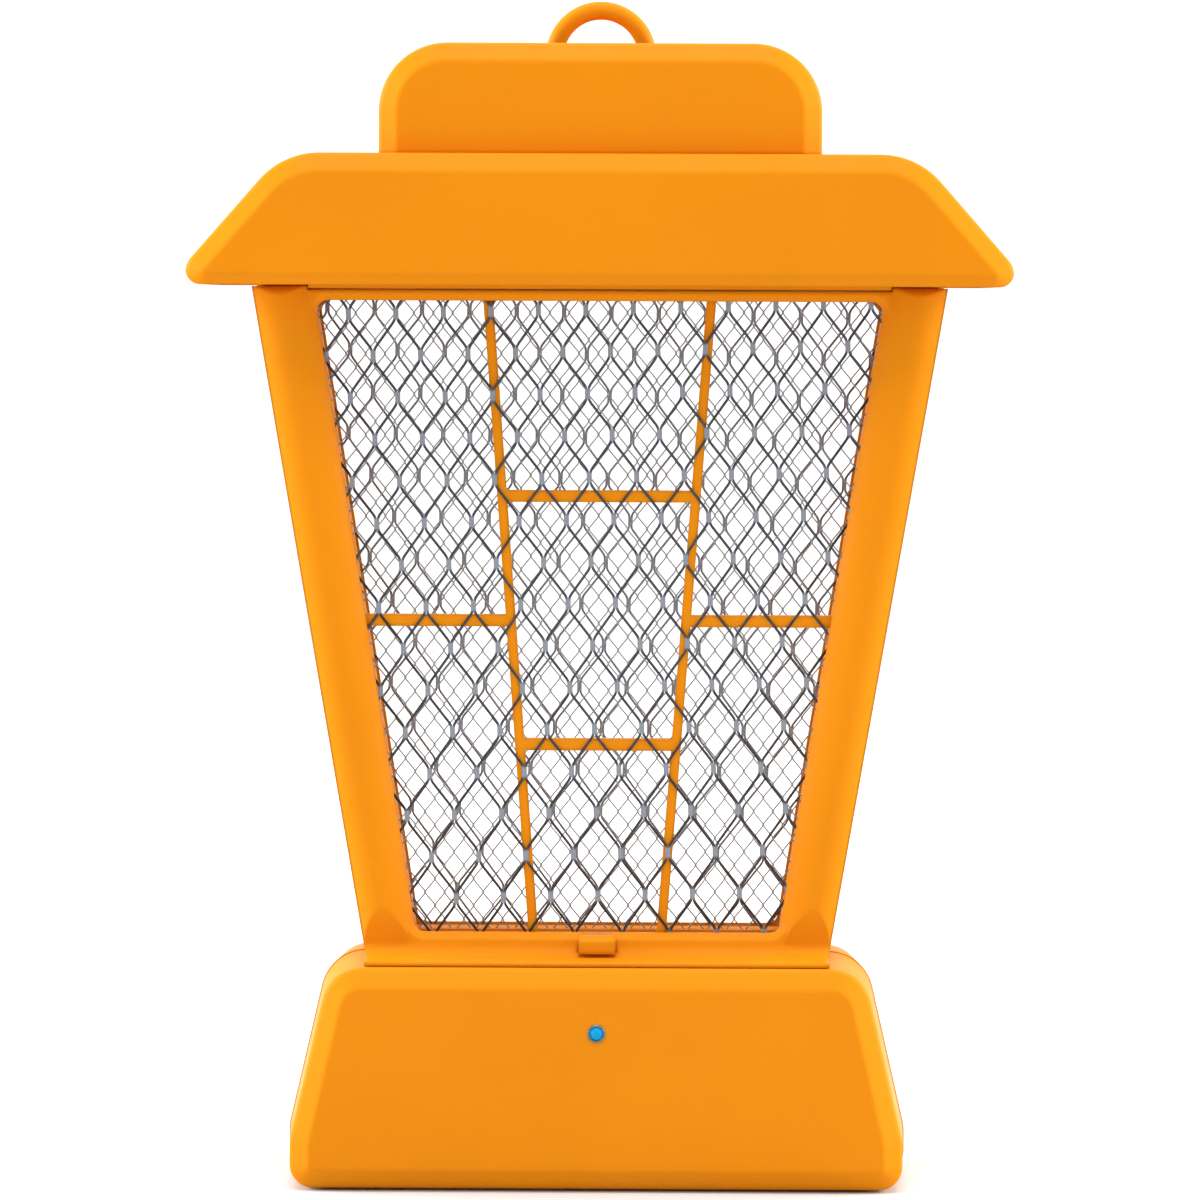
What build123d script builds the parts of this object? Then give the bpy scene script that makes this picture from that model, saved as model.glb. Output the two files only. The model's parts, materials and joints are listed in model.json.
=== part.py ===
"""Battery-powered insect zapper shaped like a small lantern.

Millimetres, +Z up, front towards -Y. The origin is on the ground, under the middle of the base.
Each function makes one sub-part, and the list at the end writes each one to its own STEP file.
"""
import math
import os

from build123d import *

# Running and resting clearances
SEAT = 0.05
RUN = 0.06
WALL = 2.0

# Bevel round the fronts and backs of the outer shells, and the rounding of its edges
BEVEL_REACH = 4.0
BEVEL_DEPTH = 2.6
BEVEL_SOFT = 1.2

# Base: two shells that meet at y = 0, where the outline is largest
BASE_HALF_WIDTH = 66.8
BASE_SHOULDER_Z = 11.0
BASE_TOP_HALF_WIDTH = 58.0
BASE_TOP_Z = 49.1
BASE_FLOOR_Z = 0.3
BASE_HALF_DEPTH = 26.0
BASE_DRAFT = 3.0
BASE_EDGE_RADIUS = 4.2
BASE_INNER_FLOOR_Z = 2.5
SEAM_STEP = 0.2

# Lantern frame: a guard in front and a fixed frame behind, both wider at the top
FRAME_FOOT_Z = 50.2
FRAME_TOP_Z = 192.1
FRAME_FOOT_HALF_WIDTH = 49.95
FRAME_TOP_HALF_WIDTH = 74.3
FRAME_DEPTH = 12.0
GUARD_BACK = 0.5
HEADER_TOP_Z = 191.95
STILE_BULGE = 1.9
STILE_TOE_Z = (50.5, 61.0)
STILE_CREST_X = (62.5, 71.3)
SHOULDER_Z = 192.7
FLANGE_REACH = 21.6
FLANGE_LIP_Z = 48.95
FLANGE_ROOT_Z = 52.5
FLANGE_GAP = 0.15

# Window through the frame
WINDOW_FOOT_Z = 54.05
WINDOW_TOP_Z = 189.8
WINDOW_FOOT_HALF_WIDTH = 39.1
WINDOW_TOP_HALF_WIDTH = 61.0
WINDOW_CORNER = 2.3
SKIN = 3.0
REBATE = 3.05

# Guard hinge, just under the roof
HINGE_Y = -11.0
HINGE_Z = 189.8
BARREL_RADIUS = 3.15
HINGE_PIN_RADIUS = 1.0
EAR_INNER_X = 67.0
EAR_OUTER_X = 70.2
EAR_RADIUS = 1.75
EAR_NECK_HALF = 1.1
EAR_REACH = 6.8
EAR_POST = 2.4
PIN_INNER_X = 65.0
PIN_OUTER_X = 72.2

# Grids, from front to back: coarse, bars, fine live grid, coarse
COARSE_PITCH_X = 10.17
COARSE_PITCH_Z = 17.96
COARSE_STRAND = 0.6
COARSE_SHEET = 0.6
FINE_PITCH_X = 4.2
FINE_PITCH_Z = 5.85
FINE_STRAND = 0.26
FINE_SHEET = 0.25
BAR_WIDTH = 2.05
LEVEL_BAR_WIDTH = 2.5
BAR_FRONT = -8.3
BAR_BACK = -4.5
LIVE_GRID_Y = 2.02
REAR_GRID_Y = 8.35
MUNTIN_TOP_X = 23.95
MUNTIN_FOOT_X = 13.84
MIDDLE_BAR_Z = (94.4, 147.9)
SIDE_BAR_Z = 121.1

# Roof and cap
ROOF_TOP_Z = 221.0
ROOF_FOOT_Z = 193.0
ROOF_TOP_HALF_WIDTH = 67.2
ROOF_TIP_Z = 191.2
ROOF_TIP_HALF_WIDTH = 93.35
ROOF_TOP_CORNER = 17.0
ROOF_TIP_CORNER = 4.5
ROOF_FOOT_CORNER = 3.2
ROOF_HALF_DEPTH = 23.0
ROOF_EDGE_RADIUS = 4.4
SOFFIT_Z = 193.2
SOFFIT_THICK = 2.0
LIP_Z = 192.3
CAP_HALF_WIDTH = 47.3
CAP_TOP_Z = 244.7
CAP_CORNER = 14.6
CAP_HALF_DEPTH = 15.0
CAP_EDGE_RADIUS = 5.0

# Hanging loop
LOOP_CENTRE_Z = 242.25
LOOP_RADIUS = 9.95
LOOP_WIRE = 1.95
LOOP_PIVOT_Z = 234.5
LOOP_BEARING_HALF = 5.8

# Battery compartment and cover, in the back of the base
COVER_HALF_WIDTH = 33.0
COVER_FOOT_Z = 8.5
COVER_TOP_Z = 40.0
COVER_THICK = 1.7
COVER_HINGE_Y = 24.6
COVER_HINGE_Z = 9.9
COVER_BARREL = 1.4
COVER_PIN_RADIUS = 0.6
TRAY_HALF_WIDTH = 31.5
TRAY_BACK_Y = 6.0
TRAY_MOUTH_Y = 22.9
CELL_RADIUS = 7.1
CELL_LENGTH = 48.6
CELL_Y = 14.8
CELL_Z = (16.7, 31.1)

# Switch and indicator
SWITCH_X = 44.7
SWITCH_Z = 24.0
SWITCH_TRAVEL = 4.0
LED_Z = 34.2
LED_RADIUS = 1.45

# Boards and screws
BOARD_Y = -17.6
BOARD_THICK = 1.6
BOARD_HALF_WIDTH = 42.0
BOARD_POSTS = [(-37, 12), (37, 12), (-37, 38), (37, 38)]
HOUSING_SCREWS = [(-54, 10), (54, 10), (-50.5, 37), (50.5, 37)]
FEET = [(-50, -12), (50, -12), (-50, 12), (50, 12)]
SCREW_RADIUS = 1.25
SCREW_HEAD = 2.7
FRAME_SCREW = (46.6, 6.4)
LAMP_Y = -1.9
LAMP_X = (-34, -12, 12, 34)
LAMP_BOARD_Z = 200.0
LAMP_DOME_Z = 197.55
CHANNEL_INSET = 4.5
CHANNEL_Y = 1.4
LEAD_RADIUS = 0.7

SIDE = Plane(origin=(0, 0, 0), x_dir=(0, 1, 0), z_dir=(1, 0, 0))


def block(x0, x1, y0, y1, z0, z1):
    """A box from its low and high corners."""
    centre = Pos((x0 + x1) / 2, (y0 + y1) / 2, (z0 + z1) / 2)
    return centre * Box(x1 - x0, y1 - y0, z1 - z0)


def rod(radius, start, end):
    """A cylinder between two points."""
    axis = Vector(*end) - Vector(*start)
    plane = Plane(origin=start, z_dir=axis)
    low = (Align.CENTER, Align.CENTER, Align.MIN)
    return plane * Cylinder(radius, axis.length, align=low)


def both_sides(solid):
    """A solid with its mirror image across x = 0."""
    return solid + mirror(solid, about=Plane.YZ)


def outline(half, radii):
    """A face in X and Z, symmetric about x = 0, from its right-hand corners listed upwards."""
    points = list(half) + [(-x, z) for x, z in reversed(half)]
    corners = list(radii) + list(reversed(radii))
    return make_face(FilletPolyline(*points, radius=corners, close=True))


def prism(face, y_from, y_to, taper=0.0):
    """A face in X and Z, extruded from one y to another."""
    placed = Plane(origin=(0, y_from, 0), x_dir=(1, 0, 0), z_dir=(0, -1, 0)) * face
    way = (0, 1, 0) if y_to > y_from else (0, -1, 0)
    return extrude(placed, amount=abs(y_to - y_from), dir=way, taper=taper)


def across(face, half_width):
    """A face in Y and Z, extruded to both sides of x = 0."""
    return extrude(SIDE * face, amount=half_width, both=True)


def between(z, foot_z, top_z, foot, top):
    """The value at height z on a straight line from foot to top."""
    return foot + (top - foot) * (z - foot_z) / (top_z - foot_z)


def frame_x(z):
    """Half the frame's width at a height."""
    return between(z, FRAME_FOOT_Z, FRAME_TOP_Z, FRAME_FOOT_HALF_WIDTH, FRAME_TOP_HALF_WIDTH)


def window_x(z):
    """Half the window's width at a height."""
    return between(z, WINDOW_FOOT_Z, WINDOW_TOP_Z, WINDOW_FOOT_HALF_WIDTH, WINDOW_TOP_HALF_WIDTH)


def muntin_x(z):
    """How far a slanted bar's centre is from x = 0 at a height."""
    return between(z, WINDOW_FOOT_Z, WINDOW_TOP_Z, MUNTIN_FOOT_X, MUNTIN_TOP_X)


def base_top(y):
    """Height of the base's drafted top at a depth."""
    return BASE_TOP_Z - abs(y) * math.tan(math.radians(BASE_DRAFT))


def window_face(grow=0.0, corner=WINDOW_CORNER):
    """The window's outline, made larger all round."""
    low, high = WINDOW_FOOT_Z - grow, WINDOW_TOP_Z + grow
    half = [(window_x(low) + grow, low), (window_x(high) + grow, high)]
    return outline(half, [corner, corner])


def bevel_end(solid, which, above=-100.0):
    """Bevel the front (0) or back (-1) face's edges above a height, and round the bevel off."""
    end = solid.faces().sort_by(Axis.Y)[which]
    edges = end.edges().filter_by(lambda e: e.center().Z > above)
    solid = chamfer(edges, BEVEL_REACH, BEVEL_DEPTH, reference=end)
    end_y = end.center().Y
    rims = [
        e
        for e in solid.edges()
        if e.bounding_box().size.Y < 0.01
        and abs(e.center().Y - end_y) < BEVEL_DEPTH + 0.1
        and e.center().Z > above
    ]
    return fillet(rims, BEVEL_SOFT)


def drafted_shell(way):
    """Half of the base, hollow and open at y = 0. The way is -1 for the front and 1 for the back."""
    half = [
        (BASE_HALF_WIDTH, -0.9),
        (BASE_HALF_WIDTH, BASE_SHOULDER_Z),
        (BASE_TOP_HALF_WIDTH, BASE_TOP_Z),
    ]
    face = outline(half, [6.4, 12.0, 10.0])
    if way < 0:
        # the rear shell stands a little proud where the shells meet
        face = offset(face, -SEAM_STEP)
    outer = prism(face, 0, way * BASE_HALF_DEPTH, BASE_DRAFT)
    outer = bevel_end(outer, 0 if way < 0 else -1)
    inner = prism(offset(face, -WALL), 0, way * (BASE_HALF_DEPTH - WALL), BASE_DRAFT)
    far = inner.faces().sort_by(Axis.Y)[0 if way < 0 else -1]
    inner = fillet(far.edges(), BASE_EDGE_RADIUS - WALL)
    outer -= block(-90, 90, -40, 40, -10, BASE_FLOOR_Z)
    inner -= block(-90, 90, -40, 40, -10, BASE_INNER_FLOOR_Z)
    shell = outer - inner
    for x, y in FEET:
        if y * way > 0:
            shell -= rod(4.1, (x, y, 0), (x, y, 1.65))
    return shell


def base_front_shell():
    shell = drafted_shell(-1)
    wall_y = 1 - BASE_HALF_DEPTH
    for x, z in HOUSING_SCREWS:
        shell += rod(3.2, (x, wall_y, z), (x, -SEAT, z))
        shell -= rod(SCREW_RADIUS + SEAT, (x, -18, z), (x, 1, z))
    for x, z in BOARD_POSTS:
        shell += rod(2.5, (x, wall_y, z), (x, BOARD_Y - SEAT, z))
        shell -= rod(1.0 + SEAT, (x, -22.5, z), (x, BOARD_Y + 1, z))
    shell -= rod(LED_RADIUS + 0.1, (0, -30, LED_Z), (0, -20, LED_Z))
    # slot for the guard's latch
    shell -= block(-3.0, 3.0, -12.1, -9.1, 40, 52)
    return shell


def base_rear_shell():
    shell = drafted_shell(1)
    for x, z in HOUSING_SCREWS:
        shell += rod(3.6, (x, SEAT, z), (x, 25, z))
        shell -= rod(SCREW_RADIUS + 0.25, (x, -1, z), (x, 30, z))
        shell -= rod(SCREW_HEAD + 0.2, (x, 17, z), (x, 30, z))
    # battery cover: hinge bosses, then the opening and the pin's holes
    shell += both_sides(block(COVER_HALF_WIDTH + 0.4, 36.6, 22.4, 25, 7.6, 12.2))
    opening_foot = COVER_FOOT_Z - 0.3
    opening_top = COVER_TOP_Z + 0.3
    opening_half = COVER_HALF_WIDTH + 0.3
    shell -= block(-opening_half, opening_half, 20, 30, opening_foot, opening_top)
    hole = (COVER_HINGE_Y, COVER_HINGE_Z)
    shell -= both_sides(rod(COVER_PIN_RADIUS + RUN, (30, *hole), (36, *hole)))
    # switch slot
    slot_end = SWITCH_X + SWITCH_TRAVEL
    shell -= block(SWITCH_X - 1.9, slot_end + 1.9, 20, 30, SWITCH_Z - 1.8, SWITCH_Z + 1.8)
    # holes for the leads and the frame's screws
    lead_x = frame_x(BASE_TOP_Z) - CHANNEL_INSET
    shell -= both_sides(rod(1.3, (lead_x, 1.6, 40), (lead_x, 1.6, 52)))
    shell -= both_sides(rod(SCREW_RADIUS + 0.25, (*FRAME_SCREW, 40), (*FRAME_SCREW, 52)))
    return shell


def frame_body(back, side_face):
    """A frame half from its flat back to the front, before the window: sides, rails and foot flange."""
    foot, top = 46.0, 196.0
    half = [(frame_x(foot), foot), (frame_x(top), top)]
    trapezium = outline(half, [0, 0])
    slab = prism(trapezium, -back, -FRAME_DEPTH)
    flange_line = Line((-FRAME_DEPTH + 0.5, 46), (-FLANGE_REACH, 46))
    flange_lip = Line((-FLANGE_REACH, 46), (-FLANGE_REACH, FLANGE_LIP_Z - 0.6))
    rolled_edge = ThreePointArc(
        (-FLANGE_REACH, FLANGE_LIP_Z - 0.6),
        (-FLANGE_REACH + 0.18, FLANGE_LIP_Z - 0.18),
        (-FLANGE_REACH + 0.6, FLANGE_LIP_Z),
    )
    sweep_in = Spline(
        (-FLANGE_REACH + 0.6, FLANGE_LIP_Z),
        (-FRAME_DEPTH, FLANGE_ROOT_Z),
        tangents=[(1, 0.04), (0, 1)],
    )
    shelf = Line((-FRAME_DEPTH, FLANGE_ROOT_Z), (-FRAME_DEPTH + 0.5, FLANGE_ROOT_Z))
    close = Line((-FRAME_DEPTH + 0.5, FLANGE_ROOT_Z), (-FRAME_DEPTH + 0.5, 46))
    flange = across(make_face([flange_line, flange_lip, rolled_edge, sweep_in, shelf, close]), 90)
    flange &= prism(trapezium, 0, -30)
    bulge = loft([stile_section(49.6), stile_section(193.4)]) & across(toe_face(), 90)
    body = slab + flange + both_sides(bulge)
    return body & across(side_face, 90)


def toe_face():
    """Side view that lets a stile's rounded front run out towards the flange."""
    low, high = STILE_TOE_Z
    crest = -FRAME_DEPTH - STILE_BULGE - 0.05
    run_out = Spline((-FRAME_DEPTH, low), (crest, high), tangents=[(0, 1), (0, 1)])
    rest = Polyline((crest, high), (crest, 200), (-5, 200), (-5, 45), (-FRAME_DEPTH, 45), (-FRAME_DEPTH, low))
    return make_face([run_out, rest])


def stile_section(z):
    """Cross-section of the rounded front of a stile at a height."""
    inner, outer = window_x(z) + 1.5, frame_x(z) - 0.3
    front = -FRAME_DEPTH
    bow = ThreePointArc(
        (inner, front, z), ((inner + outer) / 2, front - STILE_BULGE, z), (outer, front, z)
    )
    behind = Polyline((outer, front, z), (outer, front + 1, z), (inner, front + 1, z), (inner, front, z))
    return make_face([bow, behind])


def cut_window(body, pocket_top, pocket_back):
    """Cut the window, its bevelled front edge and the rebate that holds the grids."""
    body -= prism(window_face(), 5, -30)
    body -= prism(window_face(), -FRAME_DEPTH + 1.5, -FRAME_DEPTH - 3, -45)
    low = WINDOW_FOOT_Z - SKIN
    half = [(window_x(low) + REBATE, low), (window_x(pocket_top) + REBATE, pocket_top)]
    return body - prism(outline(half, [0, 0]), pocket_back, -FRAME_DEPTH + SKIN)


def front_frame():
    """The guard: it swings up on its hinge pins to reach the grids."""
    foot_back = base_top(GUARD_BACK) - SEAM_STEP + FLANGE_GAP
    foot_front = base_top(FLANGE_REACH) - SEAM_STEP + FLANGE_GAP
    arc_mid = BARREL_RADIUS * math.sqrt(0.5)
    side = make_face(
        [
            Polyline(
                (HINGE_Y, HINGE_Z + BARREL_RADIUS),
                (-4.0, HINGE_Z + BARREL_RADIUS),
                (-GUARD_BACK, HINGE_Z + 1.5),
                (-GUARD_BACK, foot_back),
                (-FLANGE_REACH - 0.1, foot_front),
                (-FLANGE_REACH - 0.1, 60),
                (HINGE_Y - BARREL_RADIUS, 60),
                (HINGE_Y - BARREL_RADIUS, HINGE_Z),
            ),
            ThreePointArc(
                (HINGE_Y - BARREL_RADIUS, HINGE_Z),
                (HINGE_Y - arc_mid, HINGE_Z + arc_mid),
                (HINGE_Y, HINGE_Z + BARREL_RADIUS),
            ),
        ]
    )
    body = frame_body(GUARD_BACK, side)
    body = cut_window(body, 200, 0)
    crest_inner, crest_outer = STILE_CREST_X
    body -= block(-crest_inner, crest_inner, -20, 2, HEADER_TOP_Z, 200)
    body -= both_sides(block(crest_outer, 90, -20, 2, SHOULDER_Z, 200))
    # pockets for the roof's hinge ears, open to the back and the top, and the pin holes
    near, far = EAR_INNER_X - 0.3, EAR_OUTER_X + 0.3
    notch = rod(EAR_RADIUS + 0.3, (near, HINGE_Y, HINGE_Z), (far, HINGE_Y, HINGE_Z))
    notch += block(near, far, HINGE_Y - 0.4, 2, HINGE_Z - EAR_NECK_HALF - 0.4, 200)
    hole = rod(HINGE_PIN_RADIUS + 0.03, (PIN_INNER_X, HINGE_Y, HINGE_Z), (PIN_OUTER_X, HINGE_Y, HINGE_Z))
    body -= both_sides(notch + hole)
    # channel for the latch and its tongue
    body -= block(-4.15, 4.15, -16.5, -FRAME_DEPTH, 49.8, 60)
    body -= block(-2.75, 2.75, -13, -8.9, 45, 60)
    return body


def rear_frame():
    """The fixed frame behind the guard, which carries the live grid and the rear grid."""
    side = make_face(
        Polyline(
            (0, LIP_Z - SEAT),
            (0, base_top(0) + SEAT),
            (-FLANGE_REACH - 0.1, base_top(FLANGE_REACH) + SEAT),
            (-FLANGE_REACH - 0.1, 60),
            (-FRAME_DEPTH - STILE_BULGE, 60),
            (-FRAME_DEPTH - STILE_BULGE, LIP_Z - SEAT),
            (0, LIP_Z - SEAT),
        )
    )
    body = cut_window(frame_body(0, side), 191.0, 1)
    body = mirror(body, about=Plane.XZ)
    # channels that lead the wires up the stiles
    low, high = 45.0, 195.0
    groove = [
        (frame_x(low) - CHANNEL_INSET - 1.3, low),
        (frame_x(low) - CHANNEL_INSET + 1.3, low),
        (frame_x(high) - CHANNEL_INSET + 1.3, high),
        (frame_x(high) - CHANNEL_INSET - 1.3, high),
    ]
    body -= both_sides(prism(make_face(Polyline(*groove, close=True)), -1, 2.6))
    body -= both_sides(rod(SCREW_RADIUS + SEAT, (68.6, 6, 181), (68.6, 6, 195)))
    body -= both_sides(rod(SCREW_RADIUS + SEAT, (*FRAME_SCREW, 45), (*FRAME_SCREW, 57.5)))
    # way in for the live grid's contact
    contact_z = 150.0
    inner = window_x(contact_z) + REBATE - 0.5
    outer = frame_x(contact_z) - CHANNEL_INSET
    body -= block(inner, outer, -1, 2.6, contact_z - 2, contact_z + 2)
    return body


def sheet_corners(grow):
    """Corners of a trapezium that is the window's outline made larger all round."""
    low, high = WINDOW_FOOT_Z - grow, WINDOW_TOP_Z + min(grow, 1.0)
    return [
        (-window_x(low) - grow, low),
        (window_x(low) + grow, low),
        (window_x(high) + grow, high),
        (-window_x(high) - grow, high),
    ]


def clipped(polygon, keep):
    """The part of a convex polygon that lies inside another, whose corners run anticlockwise."""
    for (ax, az), (bx, bz) in zip(keep, keep[1:] + keep[:1]):
        inside = []
        for (px, pz), (qx, qz) in zip(polygon, polygon[1:] + polygon[:1]):
            p_side = (bx - ax) * (pz - az) - (bz - az) * (px - ax)
            q_side = (bx - ax) * (qz - az) - (bz - az) * (qx - ax)
            if p_side >= 0:
                inside.append((px, pz))
            if p_side * q_side < 0:
                t = p_side / (p_side - q_side)
                inside.append((px + t * (qx - px), pz + t * (qz - pz)))
        polygon = inside
        if not polygon:
            break
    return polygon


def area(polygon):
    pairs = zip(polygon, polygon[1:] + polygon[:1])
    return sum(ax * bz - az * bx for (ax, az), (bx, bz) in pairs) / 2


def diamond_sheet(pitch_x, pitch_z, strand, y_front, y_back):
    """A flat grid with a plain border and diamond openings."""
    border = sheet_corners(2.85)
    keep = sheet_corners(0.8)
    slope = math.hypot(pitch_x, pitch_z)
    reach_x = pitch_x / 2 - strand * slope / pitch_z / 2
    reach_z = pitch_z / 2 - strand * slope / pitch_x / 2
    smallest = 0.04 * reach_x * reach_z
    columns = math.ceil(2 * WINDOW_TOP_HALF_WIDTH / pitch_x) + 2
    rows = math.ceil((WINDOW_TOP_Z - WINDOW_FOOT_Z) / (pitch_z / 2)) + 2
    middle_z = (WINDOW_FOOT_Z + WINDOW_TOP_Z) / 2
    openings = []
    for row in range(-rows // 2, rows // 2 + 1):
        z = middle_z + row * pitch_z / 2
        shift = pitch_x / 2 * (row % 2)
        for column in range(-columns // 2, columns // 2 + 1):
            x = column * pitch_x + shift
            diamond = [(x, z - reach_z), (x + reach_x, z), (x, z + reach_z), (x - reach_x, z)]
            piece = clipped(diamond, keep)
            if len(piece) > 2 and area(piece) > smallest:
                openings.append(piece)
    holes = [Wire(Polyline(*piece, close=True).edges()) for piece in openings]
    sheet = Face(Wire(Polyline(*border, close=True).edges()), holes)
    return prism(Sketch([sheet]), y_back, y_front)


def front_grid():
    front = -FRAME_DEPTH + SKIN + SEAT
    return diamond_sheet(COARSE_PITCH_X, COARSE_PITCH_Z, COARSE_STRAND, front, front + COARSE_SHEET)


def rear_grid():
    back = REAR_GRID_Y + COARSE_SHEET
    return diamond_sheet(COARSE_PITCH_X, COARSE_PITCH_Z, COARSE_STRAND, REAR_GRID_Y, back)


def live_grid():
    back = LIVE_GRID_Y + FINE_SHEET
    return diamond_sheet(FINE_PITCH_X, FINE_PITCH_Z, FINE_STRAND, LIVE_GRID_Y, back)


def rim(y_front, y_back):
    """A flat frame that fits the rebate and stays out of the window."""
    outer = make_face(Polyline(*sheet_corners(2.85), close=True))
    inner = make_face(Polyline(*sheet_corners(0.5), close=True))
    return prism(outer - inner, y_back, y_front)


def muntin_grille():
    """Cross bars behind the front grid: two slanted uprights and four short level bars."""
    low, high = WINDOW_FOOT_Z - 1, WINDOW_TOP_Z + 0.8
    half = BAR_WIDTH / 2
    upright = [
        (muntin_x(low) - half, low),
        (muntin_x(low) + half, low),
        (muntin_x(high) + half, high),
        (muntin_x(high) - half, high),
    ]
    bars = both_sides(prism(make_face(Polyline(*upright, close=True)), BAR_BACK, BAR_FRONT))
    half = LEVEL_BAR_WIDTH / 2
    for z in MIDDLE_BAR_Z:
        bars += block(-muntin_x(z), muntin_x(z), BAR_FRONT, BAR_BACK, z - half, z + half)
    inner, outer = muntin_x(SIDE_BAR_Z), window_x(SIDE_BAR_Z) + 1
    side = block(inner, outer, BAR_FRONT, BAR_BACK, SIDE_BAR_Z - half, SIDE_BAR_Z + half)
    return rim(BAR_FRONT, BAR_BACK) + bars + both_sides(side)


def grid_carrier():
    return rim(0.4, LIVE_GRID_Y - 0.02)


def grid_spacer():
    return rim(LIVE_GRID_Y + FINE_SHEET + 0.03, REAR_GRID_Y - 0.03)


def hinge_pins():
    end_gap = 0.1
    start = (PIN_INNER_X + end_gap, HINGE_Y, HINGE_Z)
    end = (PIN_OUTER_X - end_gap, HINGE_Y, HINGE_Z)
    return both_sides(rod(HINGE_PIN_RADIUS, start, end))


def latch_tab():
    """Finger tab under the window, with a tongue that drops into the base."""
    pad = block(-4, 4, -15.6, -12.3, 49.95, 53.9)
    top_front = pad.edges().filter_by(Axis.X).sort_by(Axis.Z)[-2:].sort_by(Axis.Y)[0]
    pad = chamfer(top_front, 1.3)
    web = block(-2.5, 2.5, -12.4, -9.6, 50.0, 51.8)
    tongue = block(-2.5, 2.5, -11.6, -9.6, 47.3, 51.8)
    return pad + web + tongue


def roof_face(inset=0.0):
    half = [(ROOF_TIP_HALF_WIDTH, ROOF_TIP_Z), (ROOF_TOP_HALF_WIDTH, ROOF_TOP_Z)]
    face = outline(half, [ROOF_TIP_CORNER, ROOF_TOP_CORNER])
    return offset(face, -inset) if inset else face


def rounded_slab(face, half_depth, radius):
    """A face extruded to both sides of y = 0, with its front and back edges rounded."""
    slab = prism(face, half_depth, -half_depth)
    ends = slab.faces().sort_by(Axis.Y)
    return fillet(ends[0].edges() + ends[-1].edges(), radius)


def roof_hood():
    outer = prism(roof_face(), ROOF_HALF_DEPTH, -ROOF_HALF_DEPTH)
    outer = bevel_end(bevel_end(outer, 0), -1)
    foot_x = between(ROOF_FOOT_Z, ROOF_TIP_Z, ROOF_TOP_Z, ROOF_TIP_HALF_WIDTH, ROOF_TOP_HALF_WIDTH)
    half = [(foot_x, ROOF_FOOT_Z), (ROOF_TOP_HALF_WIDTH, ROOF_TOP_Z)]
    outer &= prism(outline(half, [ROOF_FOOT_CORNER, ROOF_TOP_CORNER]), 40, -40)
    inner = rounded_slab(roof_face(WALL), ROOF_HALF_DEPTH - WALL, ROOF_EDGE_RADIUS - WALL)
    boss = rod(3.2, (76, 0, SOFFIT_Z + SOFFIT_THICK + SEAT), (76, 0, 214)) & outer
    hood = outer - inner
    hood -= block(-83.3, 83.3, -20.2, 20.2, 180, 197)
    hood += both_sides(boss)
    hood -= both_sides(rod(SCREW_RADIUS + SEAT, (76, 0, 190), (76, 0, 207)))
    hood -= both_sides(rod(SCREW_RADIUS + 0.25, (34, 0, 210), (34, 0, 225)))
    return hood


def soffit_plate():
    """Floor of the roof, with the lip that the frame meets and the guard's hinge ears."""
    top = SOFFIT_Z + SOFFIT_THICK
    plate = block(-83.1, 83.1, -20, 20, SOFFIT_Z, top)
    plate += block(-62.3, 62.3, -12.5, 12.5, LIP_Z, SOFFIT_Z)
    plate += block(-74.3, 74.3, 0.5, 12.5, LIP_Z, SOFFIT_Z)
    plate += both_sides(rod(2.2, (46, LAMP_Y, top), (46, LAMP_Y, LAMP_BOARD_Z - SEAT)))
    # hinge ears: a post behind the guard's front, with a neck that reaches forward to the pin
    foot, back = HINGE_Z - EAR_NECK_HALF, HINGE_Y + EAR_REACH
    ear = rod(EAR_RADIUS, (EAR_INNER_X, HINGE_Y, HINGE_Z), (EAR_OUTER_X, HINGE_Y, HINGE_Z))
    ear += block(EAR_INNER_X, EAR_OUTER_X, HINGE_Y, back, foot, HINGE_Z + EAR_NECK_HALF)
    ear += block(EAR_INNER_X, EAR_OUTER_X, back - EAR_POST, back, foot, SOFFIT_Z + 1)
    bore = rod(HINGE_PIN_RADIUS + RUN, (60, HINGE_Y, HINGE_Z), (80, HINGE_Y, HINGE_Z))
    plate += both_sides(ear - bore)
    # window for the lamps, with a rebate for its clear strip
    plate -= block(-40, 40, LAMP_Y - 2.3, LAMP_Y + 2.3, 190, top + 1)
    plate -= block(-42, 42, LAMP_Y - 3.3, LAMP_Y + 3.3, SOFFIT_Z + 0.8, top + 1)
    for x, y, reach in [(68.6, 6, SCREW_RADIUS + 0.25), (76, 0, SCREW_RADIUS + 0.25)]:
        plate -= both_sides(rod(reach, (x, y, 190), (x, y, 200)))
    plate -= both_sides(rod(SCREW_HEAD + 0.2, (76, 0, 190), (76, 0, SOFFIT_Z + 1.3)))
    lead_x = frame_x(SOFFIT_Z) - CHANNEL_INSET
    plate -= both_sides(rod(1.2, (lead_x, CHANNEL_Y, 190), (lead_x, CHANNEL_Y, 200)))
    return plate


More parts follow.
